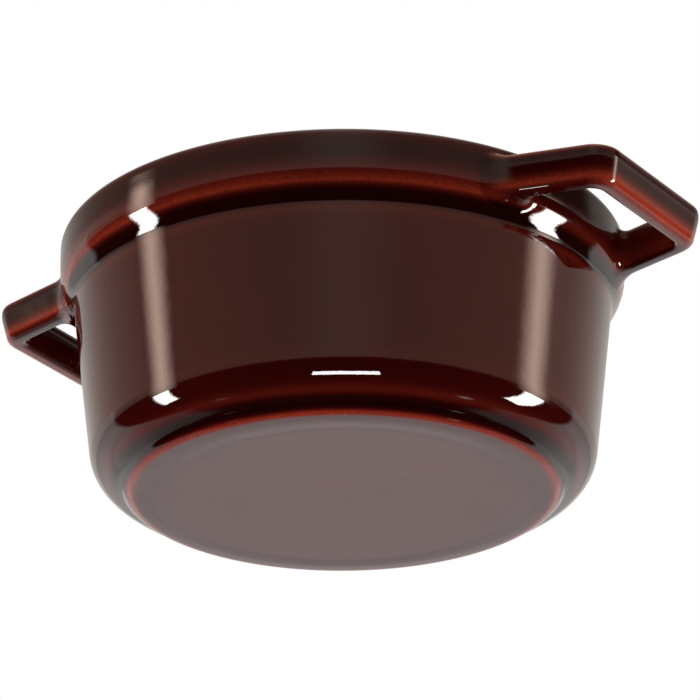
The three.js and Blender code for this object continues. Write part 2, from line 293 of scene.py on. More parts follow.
# %% Pot body
POT_SEGMENTS = 360
# Between each handle's roots the band's red is lowered: partly pooled glaze, partly painted shade from the
# handle.
LOOP_POOL_AND_SHADE, LOOP_POOL_AND_SHADE_START, LOOP_POOL_AND_SHADE_END = 0.55, np.radians(12), np.radians(24)
LOOP_POOL_AND_SHADE_RISE = (39.7, 40.1)
lip_middle = (RIM_RADIUS - RIM_EDGE + REBATE_RADIUS) / 2
inside = np.where(np.arange(len(outline)) <= top, 0.0, 1.0)
on_lip = (outline[:, 1] > POT_HEIGHT - LIP_EDGE / 4) & (outline[:, 0] > REBATE_RADIUS)
inside = np.where(on_lip, smooth_step(lip_middle - outline[:, 0], -LIP_EDGE / 2, LIP_EDGE / 2), inside)
foot_spots, foot_reds = [FOOT_FACE_RADIUS, FOOT_RING_RADIUS], [FOOT_FACE_RED, CORNER_RED]
foot_red = np.interp(outline[:, 0], foot_spots, foot_reds)
outline_red = np.where(outline[:, 0] < FOOT_RING_RADIUS, foot_red, pot_red(outline[:, 1]))
pot_grid = turned(outline, POT_SEGMENTS)
from_handles = np.abs(pot_grid[..., 1]) / np.maximum(outline[:, :1], WELD)
between_roots = smooth_step(from_handles, np.sin(LOOP_POOL_AND_SHADE_END), np.sin(LOOP_POOL_AND_SHADE_START))
pool_and_shade_in_loop = between_roots * smooth_step(outline[:, 1:], *LOOP_POOL_AND_SHADE_RISE)
pot_body = surface_object("pot_body", [pot_grid], {
    "thin": [thin_from_red(outline_red[:, None] * (1 - LOOP_POOL_AND_SHADE * pool_and_shade_in_loop))],
    "inside": [inside[:, None]],
})

# %% [markdown]
# ## Loop handles
# Each handle is a flat bar bent into a loop, cast with the pot. A section is carried along half of the
# loop and mirrored: out of the wall through a flared root, along an arm, round a corner and along the bar.
# The flare is the hard part. Every line along the arm bends away in its own curve and lands flat on the
# pot, further away where it runs along the top, bottom or side, so that the root melts into the band.

# %% Sizes of a handle
HANDLE_REACH, HANDLE_DROP = 15.0, 2.35
HANDLE_ROOT_SPAN, HANDLE_BAR_SPAN = 41.2, 32.6
HANDLE_WIDTH, HANDLE_HEIGHT, HANDLE_PARTING = 5.5, 7.5, 2.3
HANDLE_DRAFT = np.radians(13)
HANDLE_EDGE, PARTING_EDGE, BELLY_EDGE, HEEL_EDGE = 1.3, 4.0, 1.6, 1.0
HANDLE_OUTER_CORNER, HANDLE_INNER_CORNER = 5.6, 2.4
ROOT_SPREAD, ROOT_RISE, ROOT_DROP = 4.5, 1.2, 2.0
HANDLE_MIDDLE = POT_HEIGHT - HANDLE_DROP - HANDLE_HEIGHT / 2
HALF_WIDTH, HALF_HEIGHT = HANDLE_WIDTH / 2, HANDLE_HEIGHT / 2
LOWER_HALF_WIDTH = HALF_WIDTH - (HANDLE_HEIGHT - HANDLE_PARTING) * np.tan(HANDLE_DRAFT)
print("handle bar", HANDLE_WIDTH, "mm wide at the top and", round(2 * LOWER_HALF_WIDTH, 2), "below")


# %% Section and plan of a handle
def handle_section():
    """Closed section of the bar: columns across, up, and the way that the surface faces there.

    Its sides are upright down to the mould's parting line and lean inwards below it, and its edges are
    round. A point faces at right angles to the line between its two neighbours.
    """
    parting = HALF_HEIGHT - HANDLE_PARTING
    ring = rounded_outline([
        (0, HALF_HEIGHT),
        (-HALF_WIDTH, HALF_HEIGHT, HANDLE_EDGE),
        (-HALF_WIDTH, parting, PARTING_EDGE),
        (-LOWER_HALF_WIDTH, -HALF_HEIGHT, HEEL_EDGE),
        (LOWER_HALF_WIDTH, -HALF_HEIGHT, BELLY_EDGE),
        (HALF_WIDTH, parting, PARTING_EDGE),
        (HALF_WIDTH, HALF_HEIGHT, HANDLE_EDGE),
        (0, HALF_HEIGHT),
    ], longest=0.45, arc_step=np.radians(11))[:-1]
    chord = np.roll(ring, -1, axis=0) - np.roll(ring, 1, axis=0)
    facing = np.stack([chord[:, 1], -chord[:, 0]], axis=1) / np.hypot(*chord.T)[:, None]
    return np.hstack([ring, facing])


def arm_line():
    """Plan of one arm's centre line: root on the band, corner at the bar, and its two directions."""
    root = np.array([np.sqrt(RIM_RADIUS ** 2 - (HANDLE_ROOT_SPAN / 2) ** 2), HANDLE_ROOT_SPAN / 2])
    corner = np.array([RIM_RADIUS + HANDLE_REACH - HANDLE_WIDTH / 2, HANDLE_BAR_SPAN / 2])
    along = (corner - root) / np.hypot(*(corner - root))
    return root, corner, along, np.array([-along[1], along[0]])


# %% Rings of a handle
def level(plan, z):
    """Points from plan positions and heights."""
    return np.concatenate([plan, np.broadcast_to(z, plan.shape[:-1])[..., None]], axis=-1)


def root_rings(section, steps=28):
    """Rings of the flared root, from inside the wall to the plain arm.

    Each line along the arm is a quadratic curve. It starts on the pot's outside, a little round the band
    and a little above or below the arm, and ends on the arm. Its middle point is where the straight line
    would meet the band, so both ends leave smoothly.
    """
    root, _, along, outward = arm_line()
    across, up, face_out, face_up = section.T
    start = root + across[:, None] * outward
    half = start @ along
    reach = np.sqrt(half ** 2 - (start ** 2).sum(axis=1) + RIM_RADIUS ** 2) - half
    foot = start + reach[:, None] * along
    climb = face_up * np.where(face_up > 0, min(ROOT_RISE, HANDLE_DROP / 2), ROOT_DROP)
    arm = foot + np.hypot(ROOT_SPREAD * face_out, climb)[:, None] * along
    height = HANDLE_MIDDLE + up
    angle = np.arctan2(foot[:, 1], foot[:, 0]) + ROOT_SPREAD * face_out / RIM_RADIUS
    radius = np.interp(height + climb, outside[:, 1], outside[:, 0])
    ray = np.stack([np.cos(angle), np.sin(angle)], axis=1)
    landing = level(ray * radius[:, None], height + climb)
    sunk = level(ray * (radius - LIP_THICKNESS / 2)[:, None], height + climb)
    t = np.linspace(0, 1, steps + 1)[:, None, None]
    curve = (1 - t) ** 2 * landing + 2 * t * (1 - t) * level(foot, height) + t ** 2 * level(arm, height)
    return np.concatenate([sunk[None], curve]), np.concatenate([[0], t.ravel()])


def corner_rings(section, steps=18):
    """Rings round the corner from the arm to the bar, each turned a little further.

    The rounding grows evenly across the section, from the inner corner's to the outer corner's.
    """
    _, corner, along, outward = arm_line()
    across, up = section[:, 0], section[:, 1]
    turn = np.arctan2(outward[1], outward[0])
    bend = turn * (1 - np.arange(steps + 1) / steps)[:, None, None]
    facing = np.concatenate([np.cos(bend), np.sin(bend)], axis=-1)
    rounding = np.interp(across, [-HANDLE_WIDTH / 2, HANDLE_WIDTH / 2],
                         [HANDLE_INNER_CORNER, HANDLE_OUTER_CORNER])[:, None]
    sharp = (across * (1 - outward[0]) / along[0])[:, None]
    centre = corner + (sharp - rounding * np.tan(turn / 2)) * along + (across[:, None] - rounding) * outward
    return level(centre + rounding * facing, HANDLE_MIDDLE + up)


def between(first, last, steps):
    """Rings spaced evenly between two rings, without either of them."""
    t = (np.arange(1, steps) / steps)[:, None, None]
    return (1 - t) * first + t * last


# %% Glaze depth on a handle
HANDLE_OUTER_RED, HANDLE_INNER_RED = 0.02, 0.07
# Less red under the arms and on the bar's inner face: partly deeper glaze, partly painted shade.
ROOT_POOL, ARM_POOL_AND_SHADE, BAR_POOL_AND_SHADE = 0.6, 0.8, 0.75
FACING_POOL_AND_SHADE_START, FACING_POOL_AND_SHADE_FULL = 0.1, 0.7
ROOT_GLAZE_START, ROOT_GLAZE_END = 0.05, 0.75
HEEL_ASIDE, HEEL_RISE, BELLY_ASIDE, BELLY_RISE = 0.4, 1.5, 0.2, 0.9
# Each edge: its place across and up, the red added there, and how far that spreads
HANDLE_EDGES = [
    (HALF_WIDTH, HALF_HEIGHT, 0.3, 0.8),
    (-HALF_WIDTH, HALF_HEIGHT, 0.06, 0.8),
    (-LOWER_HALF_WIDTH - HEEL_ASIDE, -HALF_HEIGHT + HEEL_RISE, 0.08, 1.6),
    (LOWER_HALF_WIDTH + BELLY_ASIDE, -HALF_HEIGHT + BELLY_RISE, 0.245, 1.35),
]


def handle_red(section, on_arm):
    """Red reflectance round the section: low on the flats, with a bell curve about each of the edges.

    The red is lowered under the arms and on the bar's inner face, partly for deeper glaze and partly as
    painted shade where they face down or towards the pot. on_arm is 1 on the arms, 0 on the bar.
    """
    _, _, face_out, face_up = section.T
    red = np.interp(section[:, 0], [-HALF_WIDTH, HALF_WIDTH], [HANDLE_INNER_RED, HANDLE_OUTER_RED])
    for across, up, strength, spread in HANDLE_EDGES:
        distance = np.hypot(section[:, 0] - across, section[:, 1] - up)
        red = red + strength * np.exp(-(distance / spread) ** 2)
    # Painted shade and deeper glaze together lower the red on faces that look down or towards the pot
    under = ARM_POOL_AND_SHADE * smooth_step(-face_up, FACING_POOL_AND_SHADE_START, FACING_POOL_AND_SHADE_FULL)
    inner = BAR_POOL_AND_SHADE * smooth_step(-face_out, FACING_POOL_AND_SHADE_START, FACING_POOL_AND_SHADE_FULL)
    return red * (1 - on_arm * under - (1 - on_arm) * inner)


# %% The two handles
ARM_STEPS, BAR_STEPS = 14, 40


def handle_loop():
    """Rings of one whole handle on the +X side, and the red reflectance at each of their points."""
    section = handle_section()
    root, share = root_rings(section)
    corner = corner_rings(section)
    half = np.concatenate([root, between(root[-1], corner[0], ARM_STEPS), corner])
    other = half[::-1] * np.array([1, -1, 1])
    rings = np.concatenate([half, between(half[-1], other[0], BAR_STEPS), other])
    bar = len(rings) - 2 * len(half)
    leaving = smooth_step(share, ROOT_GLAZE_START, ROOT_GLAZE_END)
    plain = np.concatenate([leaving, np.ones(len(half) - len(root))])
    plain = np.concatenate([plain, np.ones(bar), plain[::-1]])[:, None]
    on_arm = np.concatenate([np.ones(len(half) - len(corner)), np.linspace(1, 0, len(corner))])
    on_arm = np.concatenate([on_arm, np.zeros(bar), on_arm[::-1]])[:, None]
    pooled = ROOT_POOL * pot_red(rings[..., 2])
    return rings, (1 - plain) * pooled + plain * handle_red(section, on_arm)


right_rings, loop_red = handle_loop()
handle_values = {"thin": [thin_from_red(loop_red)], "inside": [np.zeros((1, 1))]}
left_rings = right_rings * np.array([-1, -1, 1])
right_handle = surface_object("right_handle", [right_rings], handle_values, caps=True)
left_handle = surface_object("left_handle", [left_rings], handle_values, caps=True)

# %% [markdown]
# ## Lid
# The lid lies inside the rim on the ledge. Its flange is flat, its middle a low dome with a pad for the
# knob, and a plug under the flange keeps it central. The top is glazed like the pot. The underside is matt
# black, with short blunt spikes that let condensed steam drip back on the food.

# %% Sizes of the lid
SEAT_GAP = 0.3
LID_CLEARANCE = 0.6
FLANGE_THICKNESS, FLANGE_WIDTH, FLANGE_EDGE = 2.7, 5.6, 1.0
LID_RISE, LID_THICKNESS = 6.0, 3.8
PLUG_DEPTH, PLUG_WIDTH = 1.5, 3.0
PAD_RADIUS, PAD_HEIGHT = 8.0, 0.8
SCREW_RADIUS, SCREW_CLEARANCE = 2.3, 0.3
LID_SEAT = LEDGE_HEIGHT + SEAT_GAP
LID_RADIUS = REBATE_RADIUS - LID_CLEARANCE
DOME_RADIUS = LID_RADIUS - FLANGE_WIDTH
DOME_TOP = FLANGE_THICKNESS + LID_RISE
PAD_TOP = DOME_TOP + PAD_HEIGHT
PLUG_RADIUS = inner_radius(LEDGE_HEIGHT - PLUG_DEPTH) - LID_CLEARANCE
HOLLOW_RADIUS = PLUG_RADIUS - PLUG_WIDTH
HOLLOW_TOP = DOME_TOP - LID_THICKNESS
PAD_BOTTOM = HOLLOW_TOP - PAD_HEIGHT
SCREW_HOLE = SCREW_RADIUS + SCREW_CLEARANCE
PAD_EDGE = 0.35

# %% Lid
HOLLOW_CORNERS = [
    (HOLLOW_RADIUS, -PLUG_DEPTH, FLANGE_EDGE / 2),
    (HOLLOW_RADIUS, FLANGE_THICKNESS - LID_THICKNESS + PLUG_DEPTH, FLANGE_EDGE),
    ((HOLLOW_RADIUS + PAD_RADIUS) / 2, HOLLOW_TOP, LID_RADIUS),
    (PAD_RADIUS, HOLLOW_TOP),
]


def lid_outline():
    """Half section of the lid: along its underside from the screw hole, round the flange, over the dome."""
    return rounded_outline([
        (SCREW_HOLE, PAD_BOTTOM),
        (PAD_RADIUS, PAD_BOTTOM, PAD_EDGE),
        *HOLLOW_CORNERS[::-1],
        (PLUG_RADIUS, -PLUG_DEPTH, FLANGE_EDGE / 2),
        (PLUG_RADIUS, 0),
        (LID_RADIUS, 0, FLANGE_EDGE / 2),
        (LID_RADIUS, FLANGE_THICKNESS, FLANGE_EDGE),
        (DOME_RADIUS, FLANGE_THICKNESS, DOME_RADIUS / 4),
        ((DOME_RADIUS + PAD_RADIUS) / 2, DOME_TOP, LID_RADIUS),
        (PAD_RADIUS, DOME_TOP, PAD_EDGE),
        (PAD_RADIUS, PAD_TOP, PAD_EDGE),
        (SCREW_HOLE, PAD_TOP),
        (SCREW_HOLE, PAD_BOTTOM),
    ])


LID_SEGMENTS = 300
# Radius on the lid and red reflectance there, from the middle out
PAD_GLAZE = [(0, 0.06), (PAD_RADIUS - 0.6, 0.09), (PAD_RADIUS, 0.09), (PAD_RADIUS + 0.8, 0.012)]
DOME_GLAZE = [(PAD_RADIUS + 3, 0.027), (38, 0.03), (42, 0.018)]
FLANGE_GLAZE = [(47, 0.024), (LID_RADIUS - 0.9, 0.06), (LID_RADIUS - 0.3, 0.12), (LID_RADIUS, 0.09)]
LID_RADII, LID_REDS = np.transpose(PAD_GLAZE + DOME_GLAZE + FLANGE_GLAZE)
lid_line = lid_outline()
over = np.arange(len(lid_line)) >= int(np.argmax(lid_line[:, 0]))
lid_line = lid_line + np.array([0, LID_SEAT])
lid_plate = surface_object("lid_plate", [turned(lid_line, LID_SEGMENTS)], {
    "thin": [thin_from_red(np.interp(lid_line[:, 0], LID_RADII, LID_REDS))[:, None]],
    "inside": [np.where(over, 0.0, 1.0)[:, None]],
})

# %% Basting spikes
SPIKE_PITCH, SPIKE_RING_STEP = 10.0, 8.0
SPIKE_RADIUS, SPIKE_TIP, SPIKE_TIP_EDGE, SPIKE_HEIGHT = 1.6, 0.7, 0.56, 2.2
SPIKE_SEGMENTS, SPIKE_THIN = 14, 0.3


def spike_grid():
    """One spike hanging from z = 0: a flared blunt cone with a round tip, started inside the lid."""
    corners = [
        (SPIKE_RADIUS, LID_THICKNESS / 2),
        (SPIKE_RADIUS, 0, SPIKE_HEIGHT / 4),
        (SPIKE_TIP, -SPIKE_HEIGHT, SPIKE_TIP_EDGE),
        (0, -SPIKE_HEIGHT),
    ]
    return turned(rounded_outline(corners, longest=1.2, arc_step=np.radians(24)), SPIKE_SEGMENTS)


def spike_places():
    """Middles of the spikes: rings at even steps, each divided to the nearest whole number of pitches."""
    hollow = rounded_outline([(PLUG_RADIUS, -PLUG_DEPTH), *HOLLOW_CORNERS, (0, HOLLOW_TOP)])[::-1]
    rings = np.arange(PAD_RADIUS + SPIKE_RING_STEP / 2, HOLLOW_RADIUS - SPIKE_RING_STEP / 2, SPIKE_RING_STEP)
    count = np.round(2 * np.pi * rings / SPIKE_PITCH).astype(int)
    radius = np.repeat(rings, count)
    turn = (np.arange(count.sum()) - np.repeat(np.cumsum(count) - count, count)) / np.repeat(count, count)
    height = np.interp(radius + SPIKE_RADIUS, hollow[:, 0], hollow[:, 1])
    angle = 2 * np.pi * turn
    return np.stack([radius * np.cos(angle), radius * np.sin(angle), LID_SEAT + height], axis=1)


spike = spike_grid()
spike_grids = list(spike_places()[:, None, None, :] + spike)
basting_spikes = surface_object("basting_spikes", spike_grids, {
    "thin": [np.full((1, 1), SPIKE_THIN)] * len(spike_grids),
    "inside": [np.ones((1, 1))] * len(spike_grids),
})

# %% [markdown]
# ## Knob, washer and screw
# A turned knob stands on the lid's pad. A slotted screw comes up through the lid from below, with a washer
# under its head. The screw's head is built of slices along Y, because a slot is easy to cut in a slice.

# %% Knob
KNOB_HEIGHT, KNOB_FOOT_RADIUS, KNOB_WAIST_RADIUS = 10.6, 6.4, 4.9
KNOB_HEAD_RADIUS, KNOB_HEAD_THICKNESS, KNOB_EDGE, KNOB_CROWN = 10.2, 4.6, 1.6, 0.9
SCREW_REACH = 6.4
KNOB_SEGMENTS = 160
KNOB_SEAT = LID_SEAT + PAD_TOP + SEAT_GAP


def knob_outline():
    """Half section of the knob: down its blind hole, out along the foot, up the waist, over the head."""
    head_bottom = KNOB_HEIGHT - KNOB_CROWN - KNOB_HEAD_THICKNESS
    hole = SCREW_REACH + SEAT_GAP + SCREW_CLEARANCE
    return rounded_outline([
        (0, hole),
        (SCREW_HOLE, hole),
        (SCREW_HOLE, 0),
        (KNOB_FOOT_RADIUS, 0, KNOB_EDGE / 4),
        (KNOB_WAIST_RADIUS, head_bottom / 2, KNOB_HEAD_THICKNESS),
        (KNOB_HEAD_RADIUS, head_bottom, KNOB_EDGE),
        (KNOB_HEAD_RADIUS, KNOB_HEIGHT - KNOB_CROWN, KNOB_EDGE),
        (0, KNOB_HEIGHT),
    ], longest=0.5)


knob = surface_object("knob", [turned(knob_outline() + np.array([0, KNOB_SEAT]), KNOB_SEGMENTS)], {})

# %% Washer and screw
WASHER_RADIUS, WASHER_THICKNESS, WASHER_EDGE, WASHER_SEGMENTS = 5.4, 1.0, 0.2, 96
SCREW_HEAD_RADIUS, SCREW_HEAD_HEIGHT, SCREW_HEAD_EDGE = 4.4, 2.6, 1.3
SLOT_WIDTH, SLOT_DEPTH = 1.2, 1.1
THREAD_PITCH, THREAD_DEPTH = 0.8, 0.25
WASHER_BOTTOM = LID_SEAT + PAD_BOTTOM - SEAT_GAP - WASHER_THICKNESS
SCREW_SEAT = WASHER_BOTTOM - SEAT_GAP


def washer_outline():
    """Ring section of the washer, with its edges just broken, closed on itself."""
    return rounded_outline([
        (SCREW_HOLE, WASHER_THICKNESS / 2),
        (SCREW_HOLE, 0, WASHER_EDGE),
        (WASHER_RADIUS, 0, WASHER_EDGE),
        (WASHER_RADIUS, WASHER_THICKNESS, WASHER_EDGE),
        (SCREW_HOLE, WASHER_THICKNESS, WASHER_EDGE),
        (SCREW_HOLE, WASHER_THICKNESS / 2),
    ])


def threaded_shank(length, around=40, rows_per_turn=8):
    """Shank whose radius follows a helix: a triangle wave of height less the share of a turn."""
    rows = int(length / THREAD_PITCH * rows_per_turn)
    z = np.linspace(-SCREW_HEAD_HEIGHT / 4, length, rows)[:, None]
    angle = np.linspace(0, 2 * np.pi, around, endpoint=False)
    phase = (z / THREAD_PITCH - angle / (2 * np.pi)) % 1
    radius = SCREW_RADIUS - THREAD_DEPTH * np.abs(2 * phase - 1)
    return np.stack(np.broadcast_arrays(radius * np.cos(angle), radius * np.sin(angle), z), axis=-1)


def slotted_head(slices=60, points=48):
    """Head as closed slices along Y: each runs along the domed underside, and back along the flat top.

    The underside's height is a quarter circle near the rim and level inside it, and is raised by the
    slot's depth in the slices that lie within the slot.
    """
    half = SLOT_WIDTH / 2
    flank = half + (SCREW_HEAD_RADIUS - half) * np.sin(np.linspace(0, np.pi / 2, slices // 2))
    y = np.concatenate([-flank[::-1], [-half, half], flank])
    in_slot = np.zeros(len(y))
    in_slot[len(flank):len(flank) + 2] = SLOT_DEPTH
    width = np.sqrt(np.maximum(SCREW_HEAD_RADIUS ** 2 - y ** 2, 0))[:, None]
    x = width * np.sin(np.linspace(-np.pi / 2, np.pi / 2, points))
    past = np.maximum(np.hypot(x, y[:, None]) - (SCREW_HEAD_RADIUS - SCREW_HEAD_EDGE), 0)
    rise = SCREW_HEAD_EDGE - np.sqrt(np.maximum(SCREW_HEAD_EDGE ** 2 - past ** 2, 0))
    bottom = -SCREW_HEAD_HEIGHT + np.maximum(rise, in_slot[:, None])
    under = np.stack(np.broadcast_arrays(x, y[:, None], bottom), axis=-1)
    over_top = np.stack(np.broadcast_arrays(x, y[:, None], np.zeros_like(x)), axis=-1)[:, ::-1]
    return np.concatenate([under, over_top], axis=1)


shank_length = KNOB_SEAT + SCREW_REACH - SCREW_SEAT
lift = np.array([0, 0, SCREW_SEAT])
washer_line = washer_outline() + np.array([0, WASHER_BOTTOM])
washer = surface_object("washer", [turned(washer_line, WASHER_SEGMENTS)], {})
screw = surface_object("screw", [slotted_head() + lift, threaded_shank(shank_length) + lift], {}, caps=True)

# %% [markdown]
# ## Enamel
# Two groups hold what the finishes share. `glaze_colour` turns the depth of the glaze into a colour, with
# a slow cloudiness and, where it is thin, the fine grain of the iron showing through. `orange_peel` is the
# faint waviness of fired glass. The shader itself stays in each material.


# %% Node helpers
def add(tree, kind, links=None, **settings):
    """New node of a kind, with its settings, and with inputs linked from sockets or set to values."""
    node = tree.nodes.new(kind)
    for key, value in settings.items():
        setattr(node, key, value)
    for socket, value in (links or {}).items():
        if isinstance(value, bpy.types.NodeSocket):
            tree.links.new(value, node.inputs[socket])
        else:
            node.inputs[socket].default_value = value
    return node


def calculate(tree, operation, *values):
    """Output of a Math node."""
    return add(tree, "ShaderNodeMath", dict(enumerate(values)), operation=operation).outputs[0]


def ease(tree, value, low, high, start=0.0, end=1.0):
    """Output of a Map Range node that goes smoothly from start at low to end at high."""
    links = {"Value": value, "From Min": low, "From Max": high, "To Min": start, "To Max": end}
    return add(tree, "ShaderNodeMapRange", links, interpolation_type="SMOOTHSTEP").outputs[0]


def noise(tree, scale, detail=2.0):
    """Value from 0 to 1 of a noise on the piece's own coordinates, at a scale per metre."""
    where = add(tree, "ShaderNodeTexCoord").outputs["Object"]
    return add(tree, "ShaderNodeTexNoise", {"Vector": where, "Scale": scale, "Detail": detail}).outputs["Fac"]


def new_group(name, inputs, outputs):
    """Empty shader node group with named sockets. Gives the group and its inner input and output nodes."""
    group = bpy.data.node_groups.new(name, "ShaderNodeTree")
    for label, kind in inputs.items():
        group.interface.new_socket(label, in_out="INPUT", socket_type=kind)
    for label, kind in outputs.items():
        group.interface.new_socket(label, in_out="OUTPUT", socket_type=kind)
    return group, add(group, "NodeGroupInput"), add(group, "NodeGroupOutput")


def new_material(name):
    """Empty material. Gives it with its tree and its output node."""
    material = bpy.data.materials.new(name)
    material.use_nodes = True
    material.node_tree.nodes.clear()
    return material, material.node_tree, add(material.node_tree, "ShaderNodeOutputMaterial")


# %% Glaze colour
GLAZE_RAMP = [
    (0.0, (0.0015, 0.0001, 0.0001)),
    (0.14, (0.006, 0.0002, 0.0002)),
    (0.316, (0.030, 0.0013, 0.0009)),
    (0.577, (0.100, 0.0085, 0.0040)),
    (1.0, (0.300, 0.0330, 0.0140)),
]
CLOUD_SCALE, CLOUD_SPAN, CLOUD_LEAST = 70, 0.24, 0.88
SPECK_SCALE, SPECK_START, SPECK_FULL = 2600, 0.38, 0.7
glaze_colour, entry, result = new_group(
    "glaze_colour",
    {"Thin": "NodeSocketFloat", "Grain": "NodeSocketFloat"},
    {"Colour": "NodeSocketColor"})
cloud = calculate(glaze_colour, "MULTIPLY_ADD", noise(glaze_colour, CLOUD_SCALE, 3), CLOUD_SPAN, CLOUD_LEAST)
speck = calculate(glaze_colour, "SUBTRACT", noise(glaze_colour, SPECK_SCALE), 0.5)
bare = ease(glaze_colour, entry.outputs["Thin"], SPECK_START, SPECK_FULL)
speck = calculate(glaze_colour, "MULTIPLY", speck, bare)
speck = calculate(glaze_colour, "MULTIPLY", speck, entry.outputs["Grain"])
clouded = calculate(glaze_colour, "MULTIPLY", entry.outputs["Thin"], cloud)
depth = calculate(glaze_colour, "ADD", clouded, speck)
ramp = add(glaze_colour, "ShaderNodeValToRGB", {"Fac": depth})
for place, _ in GLAZE_RAMP[1:-1]:
    ramp.color_ramp.elements.new(place)
for element, (place, colour) in zip(ramp.color_ramp.elements, GLAZE_RAMP):
    element.position = place
    element.color = (*colour, 1)
glaze_colour.links.new(ramp.outputs["Color"], result.inputs["Colour"])
print("glaze colour nodes", len(glaze_colour.nodes))

# %% Orange peel
WAVE_SCALE, RIPPLE_SCALE, GRIT_SCALE, PIT_SCALE = 110, 420, 2400, 2200
RIPPLE_HEIGHT, GRIT_HEIGHT = 0.25, 0.1
orange_peel, entry, result = new_group(
    "orange_peel",
    {"Matt": "NodeSocketFloat"},
    {"Height": "NodeSocketFloat"})
height = noise(orange_peel, WAVE_SCALE, 1)
for scale, share in ((RIPPLE_SCALE, RIPPLE_HEIGHT), (GRIT_SCALE, GRIT_HEIGHT)):
    height = calculate(orange_peel, "MULTIPLY_ADD", noise(orange_peel, scale, 1), share, height)
pits = calculate(orange_peel, "MULTIPLY", noise(orange_peel, PIT_SCALE, 3), entry.outputs["Matt"])
orange_peel.links.new(calculate(orange_peel, "ADD", height, pits), result.inputs["Height"])
print("orange peel nodes", len(orange_peel.nodes))

# %% Enamel material
MATT_BLACK = (0.011, 0.0105, 0.0105, 1)
GLOSS_ROUGHNESS, MATT_ROUGHNESS, ROUGHNESS_SPAN, ROUGHNESS_SCALE = 0.02, 0.4, 0.02, 300
EDGE_GRAIN = 0.5
PEEL_STRENGTH, PEEL_HEIGHT = 0.5, 0.00006


def enamel(name):
    """Red glaze outside and matt black inside, mixed by the attribute `inside`."""
    material, tree, output = new_material(name)
    thin = add(tree, "ShaderNodeAttribute", attribute_name="thin").outputs["Fac"]
    within = add(tree, "ShaderNodeAttribute", attribute_name="inside").outputs["Fac"]
    glaze = add(tree, "ShaderNodeGroup", node_tree=glaze_colour)
    tree.links.new(thin, glaze.inputs["Thin"])
    glaze.inputs["Grain"].default_value = EDGE_GRAIN
    colour = add(tree, "ShaderNodeMix", data_type="RGBA")
    tree.links.new(within, colour.inputs["Factor"])
    tree.links.new(glaze.outputs["Colour"], colour.inputs["A"])
    colour.inputs["B"].default_value = MATT_BLACK
    peel = add(tree, "ShaderNodeGroup", node_tree=orange_peel)
    tree.links.new(within, peel.inputs["Matt"])
    bump = add(tree, "ShaderNodeBump", {
        "Strength": PEEL_STRENGTH, "Distance": PEEL_HEIGHT, "Height": peel.outputs["Height"]})
    gloss = calculate(tree, "MULTIPLY_ADD", noise(tree, ROUGHNESS_SCALE), ROUGHNESS_SPAN, GLOSS_ROUGHNESS)
    rough = calculate(tree, "MULTIPLY_ADD", within, MATT_ROUGHNESS, gloss)
    shader = add(tree, "ShaderNodeBsdfPrincipled", {
        "Base Color": colour.outputs["Result"], "Roughness": rough, "Normal": bump.outputs["Normal"]})
    tree.links.new(shader.outputs["BSDF"], output.inputs["Surface"])
    return material


red_enamel = enamel("red_enamel")
print(red_enamel.name, "nodes", len(red_enamel.node_tree.nodes))

# %% [markdown]
# ## Metal
# The knob is nickel plated and polished, with faint rings from turning. The screw and washer are plain
# plated steel, a little rougher, with soft stains.

# %% Metal materials
STAIN_SCALE, STAIN_TONE, STAIN_ROUGHNESS = 240, 0.9, 0.12
RING_STRENGTH, RING_WOBBLE, RING_WOBBLE_SCALE = 0.2, 0.6, 4.0


def metal(name, colour, roughness, ring_scale, ring_height):
    """Bare metal with fine turned rings about Z, and a roughness that wanders a little."""
    material, tree, output = new_material(name)
    where = add(tree, "ShaderNodeTexCoord").outputs["Object"]
    rings = add(tree, "ShaderNodeTexWave", {
        "Vector": where, "Scale": ring_scale,
        "Distortion": RING_WOBBLE, "Detail": 1.0, "Detail Scale": RING_WOBBLE_SCALE,
    }, wave_type="RINGS", rings_direction="Z")
    bump = add(tree, "ShaderNodeBump", {
        "Strength": RING_STRENGTH, "Distance": ring_height, "Height": rings.outputs["Fac"]})
    stain = noise(tree, STAIN_SCALE, 4)
    rough = calculate(tree, "MULTIPLY_ADD", stain, STAIN_ROUGHNESS, roughness)
    tone = add(tree, "ShaderNodeMix", data_type="RGBA")
    tree.links.new(stain, tone.inputs["Factor"])
    tone.inputs["A"].default_value = (*[c * STAIN_TONE for c in colour], 1)
    tone.inputs["B"].default_value = (*colour, 1)
    shader = add(tree, "ShaderNodeBsdfPrincipled", {
        "Base Color": tone.outputs["Result"], "Metallic": 1.0,
        "Roughness": rough, "Normal": bump.outputs["Normal"]})
    tree.links.new(shader.outputs["BSDF"], output.inputs["Surface"])
    return material


polished_nickel = metal(
    "polished_nickel", colour=(0.72, 0.69, 0.63), roughness=0.07, ring_scale=900, ring_height=0.000004)
plated_steel = metal(
    "plated_steel", colour=(0.56, 0.56, 0.55), roughness=0.22, ring_scale=700, ring_height=0.00001)
print("metals", polished_nickel.name, plated_steel.name)

# %% [markdown]
# ## Putting the pieces on the frame
# Each piece takes its finish, rides on the body that carries it and stands for its CAD node, which is
# hidden.

# %% Riding
for piece, finish, body, node, slot in (
        (pot_body, red_enamel, "pot", "pot", "enamel"),
        (right_handle, red_enamel, "pot", "pot", "enamel"),
        (left_handle, red_enamel, "pot", "pot", "enamel"),
        (lid_plate, red_enamel, "lid", "lid", "lid_enamel"),
        (basting_spikes, red_enamel, "lid", "lid", "lid_enamel"),
        (knob, polished_nickel, "lid", "lid_knob", "knob_metal"),
        (washer, plated_steel, "lid", "knob_washer", "fastener_steel"),
        (screw, plated_steel, "lid", "knob_screw", "fastener_steel")):
    piece.data.materials.append(finish)
    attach(piece, body)
    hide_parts(node)
    print(piece.name, "rides on", body, "for", node)

# %% [markdown]
# ## Floor
# The pot stands on a pale floor, and the photograph looks up at it from below. So the floor shows only to
# the camera and only from above: seen from below, and to every reflection, it isn't there.

